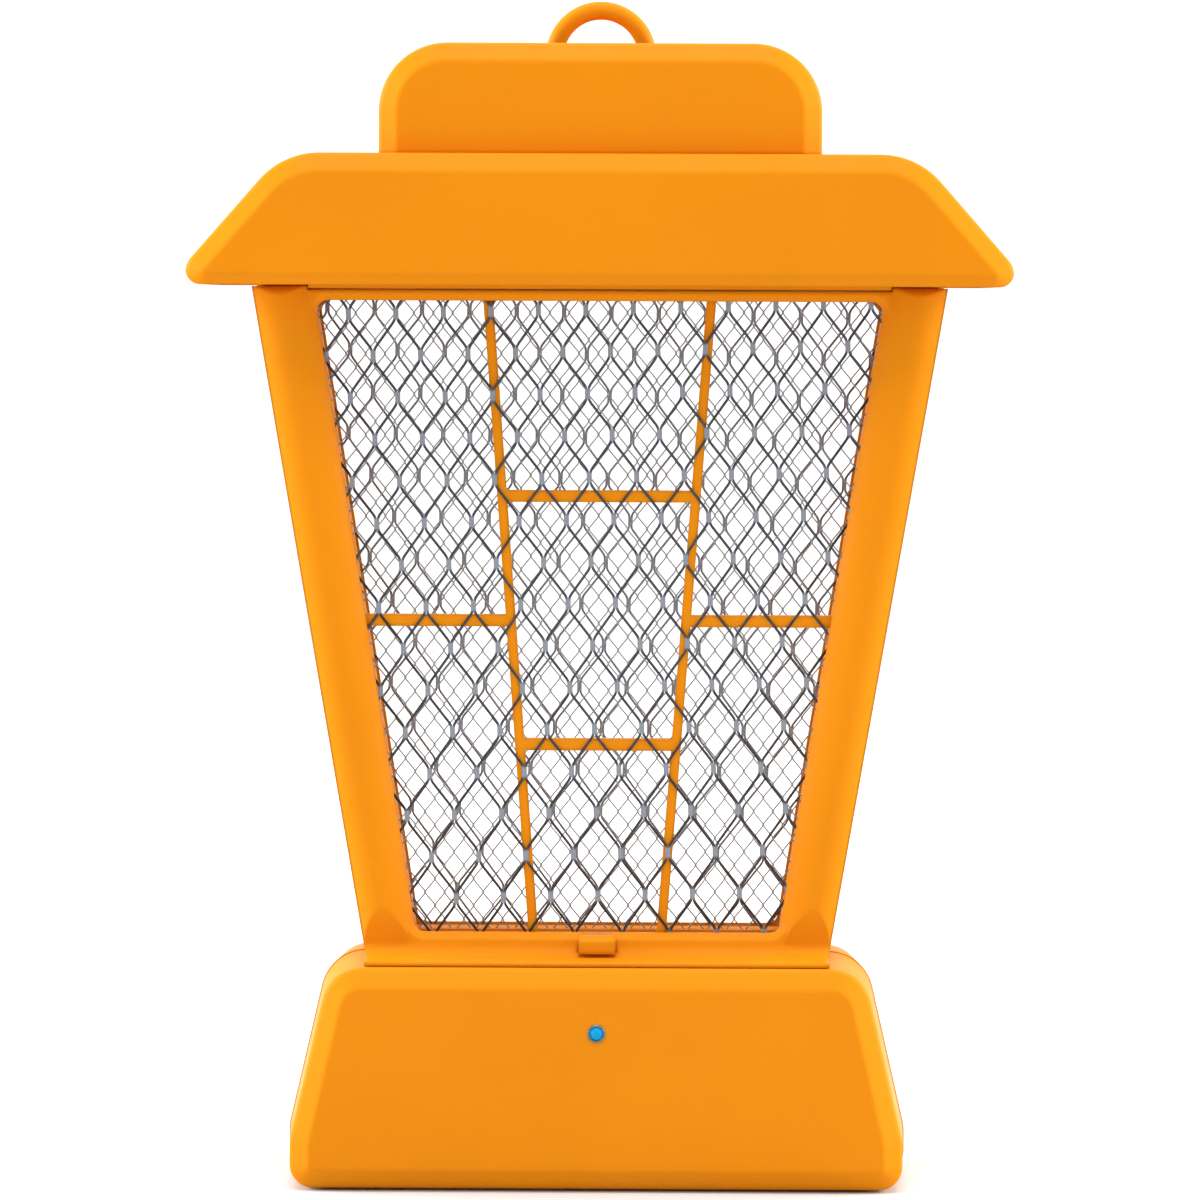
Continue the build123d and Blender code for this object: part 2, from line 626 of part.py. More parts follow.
def top_cap():
    half = [(CAP_HALF_WIDTH, ROOF_TOP_Z + SEAT), (CAP_HALF_WIDTH, CAP_TOP_Z)]
    face = outline(half, [0, CAP_CORNER])
    outer = prism(face, CAP_HALF_DEPTH, -CAP_HALF_DEPTH)
    outer = bevel_end(bevel_end(outer, 0, ROOF_TOP_Z + 1), -1, ROOF_TOP_Z + 1)
    inner_half = [(CAP_HALF_WIDTH - WALL, 200), (CAP_HALF_WIDTH - WALL, CAP_TOP_Z - WALL)]
    inner = prism(outline(inner_half, [0, CAP_CORNER - WALL]), CAP_HALF_DEPTH - WALL, WALL - CAP_HALF_DEPTH)
    ends = inner.faces().sort_by(Axis.Y)
    inner = fillet(
        (ends[0].edges() + ends[-1].edges()).filter_by(lambda e: e.center().Z > 201),
        CAP_EDGE_RADIUS - WALL,
    )
    cap = outer - inner
    cap += both_sides(rod(3.5, (34, 0, ROOF_TOP_Z + SEAT), (34, 0, CAP_TOP_Z - 1)))
    cap -= both_sides(rod(SCREW_RADIUS + SEAT, (34, 0, 215), (34, 0, 235)))
    # upper half of the loop's bearing, and the slots for its legs
    bearing = LOOP_BEARING_HALF
    cap += block(-bearing, bearing, -4.2, 4.2, LOOP_PIVOT_Z, CAP_TOP_Z - 1)
    cap -= rod(LOOP_WIRE + RUN, (-10, 0, LOOP_PIVOT_Z), (10, 0, LOOP_PIVOT_Z))
    slot_end = LOOP_RADIUS + LOOP_WIRE + 0.4
    cap -= both_sides(block(LOOP_BEARING_HALF + 0.05, slot_end, -8.7, 8.7, 240, 250))
    return cap


def loop_retainer():
    """Lower half of the loop's bearing."""
    bearing = LOOP_BEARING_HALF
    saddle = block(-bearing, bearing, -4.2, 4.2, LOOP_PIVOT_Z - 4.5, LOOP_PIVOT_Z - SEAT)
    return saddle - rod(LOOP_WIRE + RUN, (-10, 0, LOOP_PIVOT_Z), (10, 0, LOOP_PIVOT_Z))


def hanging_loop():
    """A round-wire arch on two legs, joined by the bar that it tilts on."""
    ring = Pos(0, 0, LOOP_CENTRE_Z) * Rot(90, 0, 0) * Torus(LOOP_RADIUS, LOOP_WIRE)
    arch = ring & block(-20, 20, -5, 5, LOOP_CENTRE_Z, 270)
    leg = rod(LOOP_WIRE, (LOOP_RADIUS, 0, LOOP_PIVOT_Z), (LOOP_RADIUS, 0, LOOP_CENTRE_Z))
    corner = Pos(LOOP_RADIUS, 0, LOOP_PIVOT_Z) * Sphere(LOOP_WIRE)
    bar = rod(LOOP_WIRE, (-LOOP_RADIUS, 0, LOOP_PIVOT_Z), (LOOP_RADIUS, 0, LOOP_PIVOT_Z))
    return arch + both_sides(leg + corner) + bar


def battery_cover():
    low, high = COVER_HINGE_Z, COVER_TOP_Z
    plate = block(-COVER_HALF_WIDTH, COVER_HALF_WIDTH, BASE_HALF_DEPTH - COVER_THICK, BASE_HALF_DEPTH, low, high)
    barrel_start = (-COVER_HALF_WIDTH, COVER_HINGE_Y, COVER_HINGE_Z)
    barrel_end = (COVER_HALF_WIDTH, COVER_HINGE_Y, COVER_HINGE_Z)
    plate += rod(COVER_BARREL, barrel_start, barrel_end)
    plate -= rod(COVER_PIN_RADIUS + 0.03, (-40, COVER_HINGE_Y, COVER_HINGE_Z), (40, COVER_HINGE_Y, COVER_HINGE_Z))
    # finger ridges near the top edge
    for step in range(4):
        z = 34.4 - 1.8 * step
        plate -= block(-7, 7, BASE_HALF_DEPTH - 0.5, 30, z, z + 0.8)
    return plate


def cover_pin():
    return rod(COVER_PIN_RADIUS, (-35.8, COVER_HINGE_Y, COVER_HINGE_Z), (35.8, COVER_HINGE_Y, COVER_HINGE_Z))


def battery_tray():
    wall = 1.0
    low, high = 8.4, 39.4
    tray = block(-TRAY_HALF_WIDTH, TRAY_HALF_WIDTH, TRAY_BACK_Y, TRAY_MOUTH_Y, low, high)
    tray -= block(wall - TRAY_HALF_WIDTH, TRAY_HALF_WIDTH - wall, TRAY_BACK_Y + wall, 30, low + wall, high - wall)
    # the cover's barrel turns in front of the lower lip
    tray -= block(-40, 40, COVER_HINGE_Y - COVER_BARREL - 0.4, 30, 0, COVER_HINGE_Z + COVER_BARREL + 0.5)
    return tray


def battery_cell(z, way):
    """An AA cell along X whose positive end points the given way."""
    start = -way * 22.6
    end = start + way * CELL_LENGTH
    cell = rod(CELL_RADIUS, (start, CELL_Y, z), (end, CELL_Y, z))
    return cell + rod(2.7, (end, CELL_Y, z), (end + way * 1.1, CELL_Y, z))


def lower_cell():
    return battery_cell(CELL_Z[0], -1)


def upper_cell():
    return battery_cell(CELL_Z[1], 1)


def battery_springs():
    """A coil at each cell's negative end."""
    coils = None
    for z, way in zip(CELL_Z, (1, -1)):
        coil_path = Helix(pitch=1.5, height=6.0, radius=4.2)
        section = Plane(origin=coil_path @ 0, z_dir=coil_path % 0) * Circle(0.35)
        coil = sweep(section, path=coil_path)
        coil = Pos(way * 23.2, CELL_Y, z) * Rot(0, 90 * way, 0) * coil
        coils = coil if coils is None else coils + coil
    return coils


def battery_contacts():
    """The plates behind the springs and at the positive ends."""
    plates = None
    for z, way in zip(CELL_Z, (1, -1)):
        spring_plate = block(29.8, 30.2, CELL_Y - 5, CELL_Y + 5, z - 5, z + 5)
        pip_plate = block(-30.2, -29.8, CELL_Y - 5, CELL_Y + 5, z - 5, z + 5)
        pip_plate += block(-29.9, -27.3, CELL_Y - 2, CELL_Y + 2, z - 2, z + 2)
        pair = spring_plate + pip_plate
        if way < 0:
            pair = mirror(pair, about=Plane.YZ)
        plates = pair if plates is None else plates + pair
    return plates


def circuit_board():
    back = BOARD_Y + BOARD_THICK
    board = block(-BOARD_HALF_WIDTH, BOARD_HALF_WIDTH, BOARD_Y, back, 7, 43)
    for x, z in BOARD_POSTS:
        board -= rod(1.2, (x, -20, z), (x, -10, z))
    return board


def transformer():
    """Ferrite core round a wound bobbin."""
    back = BOARD_Y + BOARD_THICK + SEAT
    core = block(-13, 5, back, back + 12, 12, 16) + block(-13, 5, back, back + 12, 27, 31)
    core += block(-13, -9, back, back + 12, 12, 31) + block(1, 5, back, back + 12, 12, 31)
    return core


def transformer_winding():
    back = BOARD_Y + BOARD_THICK + SEAT
    return block(-8.8, 0.8, back + 0.5, back + 11.5, 16.2, 26.8)


def high_voltage_capacitor():
    back = BOARD_Y + BOARD_THICK + SEAT
    body = block(11, 28, back, back + 7.5, 12, 25)
    return fillet(body.edges().filter_by(Axis.Y), 1.2)


def filter_capacitor():
    back = BOARD_Y + BOARD_THICK + SEAT
    return rod(4.0, (-25, back, 20), (-25, back + 11, 20))


def transistor():
    back = BOARD_Y + BOARD_THICK + SEAT
    can = rod(2.4, (16, back + 1.5, 36), (16, back + 6, 36))
    return can - block(10, 20, -20, 0, 37.2, 40)


def rectifier_diodes():
    y = BOARD_Y + BOARD_THICK + SEAT + 1.4
    diodes = rod(1.35, (25, y, 30), (30.5, y, 30))
    for z in (34, 38):
        diodes += rod(1.35, (25, y, z), (30.5, y, z))
    return diodes


def resistors():
    y = BOARD_Y + BOARD_THICK + SEAT + 1.2
    bodies = rod(1.15, (-31, y, 31), (-24.5, y, 31))
    for z in (34.5, 38):
        bodies += rod(1.15, (-31, y, z), (-24.5, y, z))
    return bodies


def indicator_led():
    """A 3 mm lamp whose dome stands just proud of the base's front."""
    lens = rod(LED_RADIUS, (0, -25.3, LED_Z), (0, -22.6, LED_Z))
    lens += Pos(0, -25.3, LED_Z) * Sphere(LED_RADIUS)
    lens += rod(1.8, (0, -22.6, LED_Z), (0, -21.8, LED_Z))
    for x in (-1.0, 1.0):
        lens += rod(0.25, (x, -22.0, LED_Z), (x, BOARD_Y - SEAT, LED_Z))
    return lens


def switch_body():
    half = 6.5
    middle = SWITCH_X + SWITCH_TRAVEL / 2
    return block(middle - half, middle + half, 17.4, 22.2, SWITCH_Z - 3.4, SWITCH_Z + 3.4)


def switch_knob():
    knob = block(SWITCH_X - 1.5, SWITCH_X + 1.5, 22.5, 26.75, SWITCH_Z - 1.5, SWITCH_Z + 1.5)
    return fillet(knob.faces().sort_by(Axis.Y)[-1].edges(), 0.4)


def lamp_board():
    top = LAMP_BOARD_Z + 1.2
    board = block(-50, 50, LAMP_Y - 4.6, LAMP_Y + 4.6, LAMP_BOARD_Z, top)
    return board - both_sides(rod(1.2, (46, LAMP_Y, 195), (46, LAMP_Y, 205)))


def ultraviolet_lamps():
    lamps = None
    for x in LAMP_X:
        lamp = rod(2.4, (x, LAMP_Y, LAMP_DOME_Z), (x, LAMP_Y, LAMP_BOARD_Z - SEAT))
        lamp += Pos(x, LAMP_Y, LAMP_DOME_Z) * Sphere(2.4)
        lamps = lamp if lamps is None else lamps + lamp
    return lamps


def lamp_window():
    low = SOFFIT_Z + 0.8 + 0.02
    return block(-41.9, 41.9, LAMP_Y - 3.2, LAMP_Y + 3.2, low, low + 1.1)


def lead(points, radius=LEAD_RADIUS):
    """A round wire through a list of points, with rounded turns."""
    wire = Pos(*points[0]) * Sphere(radius)
    for start, end in zip(points, points[1:]):
        wire += rod(radius, start, end)
        wire += Pos(*end) * Sphere(radius)
    return wire


def live_lead():
    """From the circuit board up the right-hand stile to the live grid."""
    foot_z, contact_z = 49.0, 150.0
    foot_x = frame_x(foot_z) - CHANNEL_INSET
    top_x = frame_x(contact_z) - CHANNEL_INSET
    points = [
        (35, -14.6, 30),
        (41, -7, 33),
        (foot_x, CHANNEL_Y, 42),
        (foot_x, CHANNEL_Y, foot_z),
        (top_x, CHANNEL_Y, contact_z),
    ]
    return lead(points)


def live_contact():
    """Strip that joins the lead's end to the live grid's border."""
    z = 150.0
    inner = window_x(z) + 1.2
    outer = frame_x(z) - CHANNEL_INSET - 1.0
    return block(inner + 2.0, outer, LIVE_GRID_Y + 0.02, LIVE_GRID_Y + 0.22, z - 1.5, z + 1.5)


def lamp_lead():
    """From the circuit board up the left-hand stile to the lamps."""
    foot_z, top_z = 49.0, 193.0
    foot_x = CHANNEL_INSET - frame_x(foot_z)
    top_x = CHANNEL_INSET - frame_x(top_z)
    points = [
        (-35, -14.6, 30),
        (-41, -7, 33),
        (foot_x, CHANNEL_Y, 42),
        (foot_x, CHANNEL_Y, foot_z),
        (top_x, CHANNEL_Y, top_z),
        (top_x, CHANNEL_Y, 198),
        (-52, LAMP_Y, 200.6),
    ]
    return lead(points)


def battery_leads():
    """From the battery contacts to the circuit board."""
    right = lead([(32.4, 10, 31), (33.5, -2, 24), (31.5, -15.2, 20)], 0.6)
    left = lead([(-32.4, 10, 17), (-33.5, -2, 20), (-32, -15.2, 24)], 0.6)
    return right + left


def screw(head_centre, tip, head_radius=SCREW_HEAD, shank=SCREW_RADIUS, head=1.6):
    """A pan-head screw whose head lies behind the given point, away from its tip."""
    way = (Vector(*tip) - Vector(*head_centre)).normalized()
    back = Vector(*head_centre) - way * head
    body = rod(head_radius, tuple(back), head_centre)
    return body + rod(shank, head_centre, tip)


def housing_screws():
    screws = None
    for x, z in HOUSING_SCREWS:
        one = screw((x, 17 + SEAT, z), (x, -14, z))
        screws = one if screws is None else screws + one
    return screws


def board_screws():
    back = BOARD_Y + BOARD_THICK + SEAT
    screws = None
    for x, z in BOARD_POSTS:
        one = screw((x, back, z), (x, -22, z), 2.1, 1.0, 1.3)
        screws = one if screws is None else screws + one
    return screws


def frame_screws():
    """From inside the base up into the fixed frame's foot."""
    head_z = base_top(FRAME_SCREW[1] + SCREW_HEAD) - WALL - 0.35
    return both_sides(screw((*FRAME_SCREW, head_z), (*FRAME_SCREW, 57)))


def roof_screws():
    """Down through the roof's floor into the fixed frame's stiles."""
    return both_sides(screw((68.6, 6, SOFFIT_Z + SOFFIT_THICK + SEAT), (68.6, 6, 182)))


def soffit_screws():
    """Up through the roof's floor into the hood."""
    return both_sides(screw((76, 0, SOFFIT_Z + 1.3 - SEAT), (76, 0, 206), head=1.2))


def cap_screws():
    """Up through the roof's top into the cap."""
    return both_sides(screw((34, 0, ROOF_TOP_Z - WALL - SEAT), (34, 0, 233)))


def rubber_feet():
    feet = None
    for x, y in FEET:
        foot = rod(4.0, (x, y, 0), (x, y, 1.6))
        foot = fillet(foot.edges().sort_by(Axis.Z)[0], 0.3)
        feet = foot if feet is None else feet + foot
    return feet


PARTS = {
    "base_front_shell": base_front_shell,
    "base_rear_shell": base_rear_shell,
    "rubber_feet": rubber_feet,
    "housing_screws": housing_screws,
    "indicator_led": indicator_led,
    "circuit_board": circuit_board,
    "board_screws": board_screws,
    "transformer_core": transformer,
    "transformer_winding": transformer_winding,
    "high_voltage_capacitor": high_voltage_capacitor,
    "filter_capacitor": filter_capacitor,
    "transistor": transistor,
    "rectifier_diodes": rectifier_diodes,
    "resistors": resistors,
    "switch_body": switch_body,
    "switch_knob": switch_knob,
    "battery_tray": battery_tray,
    "lower_cell": lower_cell,
    "upper_cell": upper_cell,
    "battery_springs": battery_springs,
    "battery_contacts": battery_contacts,
    "battery_leads": battery_leads,
    "battery_cover": battery_cover,
    "cover_pin": cover_pin,
    "rear_frame": rear_frame,
    "frame_screws": frame_screws,
    "grid_carrier": grid_carrier,
    "live_grid": live_grid,
    "live_contact": live_contact,
    "live_lead": live_lead,
    "grid_spacer": grid_spacer,
    "rear_grid": rear_grid,
    "front_frame": front_frame,
    "front_grid": front_grid,
    "muntin_grille": muntin_grille,
    "hinge_pins": hinge_pins,
    "latch_tab": latch_tab,
    "soffit_plate": soffit_plate,
    "soffit_screws": soffit_screws,
    "roof_screws": roof_screws,
    "roof_hood": roof_hood,
    "lamp_board": lamp_board,
    "ultraviolet_lamps": ultraviolet_lamps,
    "lamp_window": lamp_window,
    "lamp_lead": lamp_lead,
    "top_cap": top_cap,
    "cap_screws": cap_screws,
    "loop_retainer": loop_retainer,
    "hanging_loop": hanging_loop,
}

os.makedirs("parts", exist_ok=True)
for name, make in PARTS.items():
    export_step(make(), f"parts/{name}.step")
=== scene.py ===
"""Looks of a battery-powered insect zapper shaped like a lantern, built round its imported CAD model.

Metres, +Z up, front towards -Y, in the CAD model's own frame.
"""
import json
import math

import bpy
import numpy as np
from mathutils import Matrix, Vector
from mathutils.geometry import tessellate_polygon


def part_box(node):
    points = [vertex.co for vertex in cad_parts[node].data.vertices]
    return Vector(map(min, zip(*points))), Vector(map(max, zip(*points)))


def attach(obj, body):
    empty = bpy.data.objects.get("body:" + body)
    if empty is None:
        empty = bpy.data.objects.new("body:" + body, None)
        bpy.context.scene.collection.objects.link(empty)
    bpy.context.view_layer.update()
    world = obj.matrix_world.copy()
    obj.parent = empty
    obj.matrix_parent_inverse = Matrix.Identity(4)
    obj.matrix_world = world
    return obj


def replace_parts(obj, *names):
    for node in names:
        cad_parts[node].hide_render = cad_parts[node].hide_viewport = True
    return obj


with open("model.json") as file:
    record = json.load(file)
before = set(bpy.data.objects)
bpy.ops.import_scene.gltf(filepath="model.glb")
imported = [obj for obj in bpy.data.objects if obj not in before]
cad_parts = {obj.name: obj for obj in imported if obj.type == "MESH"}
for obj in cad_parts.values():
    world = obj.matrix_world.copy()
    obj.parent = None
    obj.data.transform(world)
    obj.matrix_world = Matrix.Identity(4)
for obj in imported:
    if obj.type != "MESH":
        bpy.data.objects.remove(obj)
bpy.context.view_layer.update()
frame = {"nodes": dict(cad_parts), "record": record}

MM = 0.001

# Camera: where it stands and how it is turned, for a square picture
CAMERA_PLACE = (6.53 * MM, -1166.0 * MM, 187.55 * MM)
CAMERA_DOWN = math.radians(3.061)
CAMERA_LEFT = math.radians(0.308)
CAMERA_ROLL = math.radians(0.237)
SENSOR_WIDTH = 36.0
PICTURE_WIDTH_AT_1M = 0.2224694

# Lights and stage
OBJECT_MIDDLE = (0, 0, 0.13)
SKY_STRENGTH = 0.85
FLOOR_HALF_WIDTH = 1.5
FLOOR_FRONT = -1.5
FLOOR_BACK = 2.0
BACKDROP_BEND = 1.5
BACKDROP_TOP = 5.0
BEND_STEPS = 12

# Expanded sheets, with their lengths in mm: the pitch across, the height of a half row, a strand's width
# and thickness, half a bond's height and the height of the bend below it. Start is the centre of one bond
# as (x, z). The strands' turn and the whole pattern's tilt are in degrees. Tone runs from 0, for strands
# that are dark between the bonds, to 1, for strands as pale as the bonds. The bonds' paleness is a painted
# highlight, standing in for light on flat metal that faces the front, so tone is a share of painted light.
FRONT_COARSE = dict(
    pitch=10.18, row=9.01, width=0.56, thick=0.22, bond=0.85, bend=1.25,
    start=(-53.87, 186.72), turn=36, tilt=1.4, tone=0.0,
)
REAR_COARSE = dict(
    pitch=10.3, row=9.04, width=0.5, thick=0.2, bond=0.85, bend=1.25,
    start=(-49.04, 188.13), turn=45, tilt=-1.05, tone=0.35,
)
FINE = dict(
    pitch=4.2, row=2.925, width=0.25, thick=0.15, bond=0.2, bend=0.3,
    start=(0.0, 120.0), turn=20, tilt=0.3, tone=0.0,
)
SHEET_LENGTHS = ("pitch", "row", "width", "thick", "bond", "bend")
# where a bend's points lie, and how far a bond's painted highlight reaches past the bond, as a share of half
# the bond
BEND_SHARES = (0, 0.3, 0.6, 1)
PAINTED_LIGHT_REACH = 0.6
# a sheet's flat border, how far the strands run into it, and its tone, a painted highlight on the flat
# border
BORDER = 2.05 * MM
TOP_BORDER = 0.2 * MM
STRAND_LAP = 0.4 * MM
BORDER_PAINTED_LIGHT = 0.4
# a sheet's points this near its foot give the width there
FOOT_SLICE = 0.05 * MM

# Screws with pan heads, in mm
SCREW_RADIUS = 1.25
HEAD_RADIUS = 2.7
POINT_RADIUS_SHARE = 0.3
POINT_LENGTH = 1.2
SCREW_SIDES = 40
# the head's outline, as shares of its radius and of its height
PAN_HEAD = [(1.0, 0.0), (1.0, 0.45), (0.96, 0.7), (0.87, 0.9), (0.74, 1.0)]
# the cross recess: its arm and half slot as shares of the head's radius, its floor's size as a share of its
# top's, and the heights of its floor and its middle as shares of the head's
CROSS_ARM = 0.5
CROSS_HALF_SLOT = 0.14
CROSS_FLOOR_SCALE = 0.55
CROSS_FLOOR_HEIGHT = 0.42
CROSS_MIDDLE_HEIGHT = 0.3
# where the screws are, and how high their heads are
SHELL_SCREW_PLACES = [(-54, 10), (54, 10), (-50.5, 37), (50.5, 37)]
SHELL_HEAD_HEIGHT = 1.6
HOOD_SCREW_X = 76
HOOD_HEAD_HEIGHT = 1.2

# Turned outlines, as (radius, place along the axis) in mm
CELL_SLEEVE = [
    (5.6, 0.35), (5.9, 0.05), (6.7, 0.0), (7.0, 0.25), (7.1, 0.7),
    (7.1, 47.8), (7.0, 48.3), (6.7, 48.6), (5.4, 48.6), (5.1, 48.35),
]
CELL_BUTTON = [(4.9, 48.4), (4.9, 48.5), (2.9, 48.55), (2.7, 48.8), (2.7, 49.5), (2.5, 49.7)]
CELL_BASE = [(5.2, 0.05), (5.4, 0.15), (5.4, 0.4)]
LENS_COLLAR = [(1.5, 0.0), (1.95, 0.0), (1.95, 0.12), (1.8, 0.25), (1.6, 0.25), (1.5, 0.12), (1.5, 0.0)]
SLEEVE_SIDES = 64
SMALL_SIDES = 48

# edges sharper than this stay sharp in the new pieces
SHARP_ANGLE = math.radians(32)


# ---------------------------------------------------------------- materials


class Surface:
    """A Principled material whose colour, roughness and relief come from noise in the frame's own space."""

    def __init__(self, name, **sockets):
        self.material = bpy.data.materials.new(name)
        self.material.use_nodes = True
        self.tree = self.material.node_tree
        self.shader = self.tree.nodes["Principled BSDF"]
        self.place = self.tree.nodes.new("ShaderNodeTexCoord").outputs["Object"]
        for socket, value in sockets.items():
            self.shader.inputs[socket.replace("_", " ")].default_value = value

    def link(self, start, end):
        self.tree.links.new(start, end)

    def noise(self, scale, detail=2.0, stretch=None):
        """Noise from 0 to 1, with so many features to the metre."""
        node = self.tree.nodes.new("ShaderNodeTexNoise")
        node.inputs["Scale"].default_value = scale
        node.inputs["Detail"].default_value = detail
        place = self.place
        if stretch:
            mapping = self.tree.nodes.new("ShaderNodeMapping")
            mapping.inputs["Scale"].default_value = stretch
            self.link(place, mapping.inputs["Vector"])
            place = mapping.outputs["Vector"]
        self.link(place, node.inputs["Vector"])
        return node.outputs["Fac"]

    def between(self, factor, low, high, start=0.3, end=0.7):
        """A number that runs from low to high as the factor goes from start to end."""
        node = self.tree.nodes.new("ShaderNodeMapRange")
        node.inputs["From Min"].default_value = start
        node.inputs["From Max"].default_value = end
        node.inputs["To Min"].default_value = low
        node.inputs["To Max"].default_value = high
        self.link(factor, node.inputs["Value"])
        return node.outputs["Result"]

    def blend(self, factor, dark, light, start=0.3, end=0.7):
        """A colour that runs from dark to light as the factor goes from start to end."""
        node = self.tree.nodes.new("ShaderNodeValToRGB")
        for stop, place, colour in zip(node.color_ramp.elements, (start, end), (dark, light)):
            stop.position = place
            stop.color = (*colour, 1.0)
        self.link(factor, node.inputs["Fac"])
        return node.outputs["Color"]

    def colour(self, factor, dark, light, start=0.3, end=0.7):
        self.link(self.blend(factor, dark, light, start, end), self.shader.inputs["Base Color"])

    def rough(self, factor, low, high):
        self.link(self.between(factor, low, high), self.shader.inputs["Roughness"])

    def relief(self, factor, depth, soften=0.0):
        """Bump of a given depth in metres, over edges that look rounded by the soften radius."""
        bump = self.tree.nodes.new("ShaderNodeBump")
        bump.inputs["Distance"].default_value = depth
        self.link(factor, bump.inputs["Height"])
        if soften:
            bevel = self.tree.nodes.new("ShaderNodeBevel")
            bevel.samples = 4
            bevel.inputs["Radius"].default_value = soften
            self.link(bevel.outputs["Normal"], bump.inputs["Normal"])
        self.link(bump.outputs["Normal"], self.shader.inputs["Normal"])


def shades(colour, spread):
    """A colour made darker and lighter by a share."""
    dark = tuple(c * (1 - spread) for c in colour)
    light = tuple(min(1.0, c * (1 + spread)) for c in colour)
    return dark, light


def moulded_plastic(name, colour, roughness, specular, spread=0.03, soften=0.5 * MM):
    """Injection-moulded plastic: a faint flow pattern, satin patches and a very fine texture."""
    surface = Surface(name, Specular_IOR_Level=specular)
    surface.colour(surface.noise(scale=22, detail=3), *shades(colour, spread))
    surface.rough(surface.noise(scale=60, detail=4), low=roughness - 0.05, high=roughness + 0.06)
    surface.relief(surface.noise(scale=2600), depth=0.008 * MM, soften=soften)
    return surface.material


def plain_metal(name, colour, roughness, spread=0.18, grain=900):
    """Plated or drawn metal with a fine uneven tone."""
    surface = Surface(name, Metallic=1.0)
    surface.colour(surface.noise(scale=grain, detail=3), *shades(colour, spread))
    surface.rough(surface.noise(scale=0.6 * grain, detail=3), low=roughness - 0.07, high=roughness + 0.1)
    surface.relief(surface.noise(scale=3 * grain), depth=0.01 * MM, soften=0.08 * MM)
    return surface.material


def sheet_metal(name, strand, bond, roughness, metallic):
    """Expanded sheet: dark strands, and bonds painted paler, a painted highlight where the flat metal faces
    the front, over a random uneven tone.
    """
    surface = Surface(name, Metallic=metallic, Specular_IOR_Level=0.3)
    # painted highlight: each point's painted paleness, highest on the flat bonds that face the front
    painted_bond_light = surface.tree.nodes.new("ShaderNodeAttribute")
    painted_bond_light.attribute_name = "bond"
    uneven_share = 0.35
    mix = surface.tree.nodes.new("ShaderNodeMath")
    mix.operation = "MULTIPLY_ADD"
    mix.inputs[1].default_value = uneven_share
    surface.link(surface.noise(scale=700, detail=3), mix.inputs[0])
    surface.link(painted_bond_light.outputs["Fac"], mix.inputs[2])
    surface.colour(mix.outputs["Value"], strand, bond, start=0.15, end=1.1)
    surface.rough(surface.noise(scale=1500), low=roughness - 0.08, high=roughness + 0.1)
    surface.relief(surface.noise(scale=5000), depth=0.006 * MM)
    return surface.material


def board_mask(name):
    """Solder mask over glass cloth."""
    surface = Surface(name, Specular_IOR_Level=0.5)
    dark, light = (0.012, 0.085, 0.035), (0.03, 0.16, 0.07)
    surface.colour(surface.noise(scale=180, detail=4), dark, light)
    surface.rough(surface.noise(scale=400), low=0.25, high=0.4)
    weave = surface.noise(scale=2200, detail=1, stretch=(1.0, 1.0, 0.3))
    surface.relief(weave, depth=0.02 * MM, soften=0.1 * MM)
    return surface.material


def winding(name):
    """Rows of enamelled wire, wound round an upright bobbin, with painted shade between the rows and a
    painted highlight on their crests.
    """
    surface = Surface(name, Metallic=0.85)
    wave = surface.tree.nodes.new("ShaderNodeTexWave")
    wave.bands_direction = "Z"
    wave.inputs["Scale"].default_value = 900
    wave.inputs["Distortion"].default_value = 0.4
    surface.link(surface.place, wave.inputs["Vector"])
    # painted shade and highlight: darker in the grooves between wire rows, paler on their crests, from the
    # same bands as the relief
    dark, light = (0.25, 0.07, 0.02), (0.75, 0.32, 0.12)
    surface.colour(wave.outputs["Fac"], dark, light, start=0.0, end=1.0)
    surface.rough(surface.noise(scale=500), low=0.25, high=0.4)
    surface.relief(wave.outputs["Fac"], depth=0.12 * MM)
    return surface.material


def soft_rubber(name):
    """Dull black rubber."""
    surface = Surface(name, Specular_IOR_Level=0.3)
    dark, light = (0.012, 0.012, 0.013), (0.035, 0.035, 0.036)
    surface.colour(surface.noise(scale=300, detail=4), dark, light)
    surface.rough(surface.noise(scale=200, detail=3), low=0.65, high=0.85)
    surface.relief(surface.noise(scale=3500, detail=3), depth=0.02 * MM, soften=0.2 * MM)
    return surface.material


def clear_plastic(name, tint, roughness, share, glow=None, strength=0.0, specular=0.5):
    """Clear or tinted plastic that passes a share of the light, and may glow."""
    surface = Surface(name, Transmission_Weight=share, IOR=1.49, Specular_IOR_Level=specular)
    surface.colour(surface.noise(scale=400), *shades(tint, 0.05))
    surface.rough(surface.noise(scale=300), low=roughness, high=roughness + 0.08)
    if glow:
        surface.shader.inputs["Emission Color"].default_value = (*glow, 1.0)
        surface.shader.inputs["Emission Strength"].default_value = strength
    surface.relief(surface.noise(scale=1200), depth=0.006 * MM)
    return surface.material


